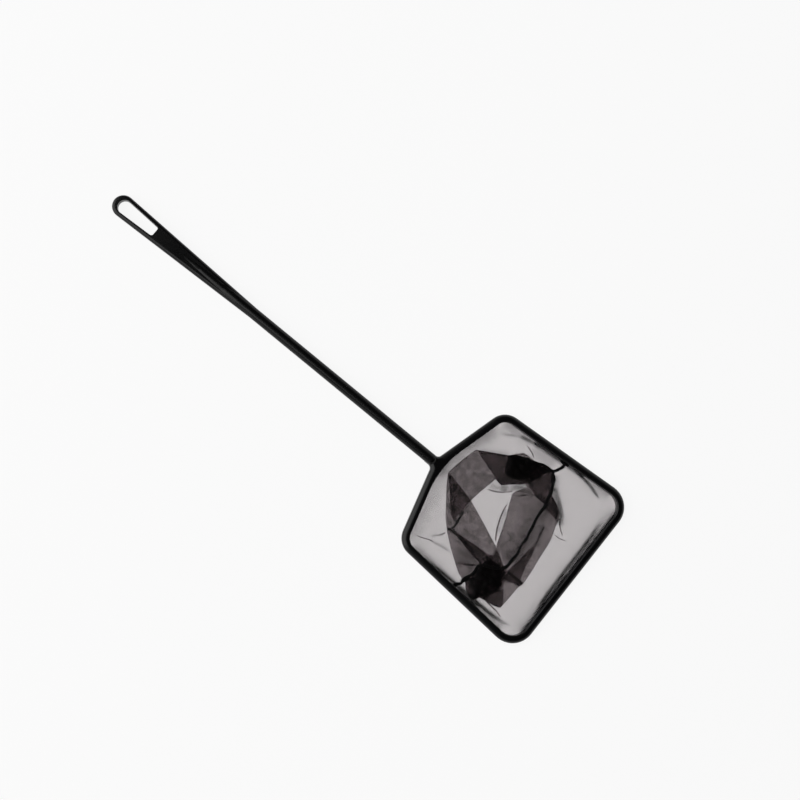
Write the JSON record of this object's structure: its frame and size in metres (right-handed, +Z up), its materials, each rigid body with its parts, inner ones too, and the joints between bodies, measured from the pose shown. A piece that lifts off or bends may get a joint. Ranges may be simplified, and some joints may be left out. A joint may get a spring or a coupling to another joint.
{
  "type": "aquarium fish net",
  "caption": "Hand net for aquariums: moulded handle with a hanging eyelet, tapering frame and a fine mesh bag lying collapsed inside the frame.",
  "frame": {"origin": "under the middle of the net's length, on the surface that it lies on", "axes": "+X along the handle from the eyelet towards the far bar, +Z up out of the net's mouth"},
  "size_m": [0.32, 0.1028, 0.0062],
  "materials": {
    "frame_plastic": "black moulded plastic, satin gloss",
    "net_mesh": "black nylon mesh, see-through",
    "seam_thread": "black sewing thread over rolled mesh"
  },
  "bodies": {
    "root": {"handle_and_frame": "frame_plastic", "retaining_ring": "frame_plastic", "net_hem": "net_mesh", "net_panel_handle_side": "net_mesh", "net_panel_far_side": "net_mesh", "bag_seam": "seam_thread", "seam_stitching": "seam_thread"}
  },
  "joints": []
}
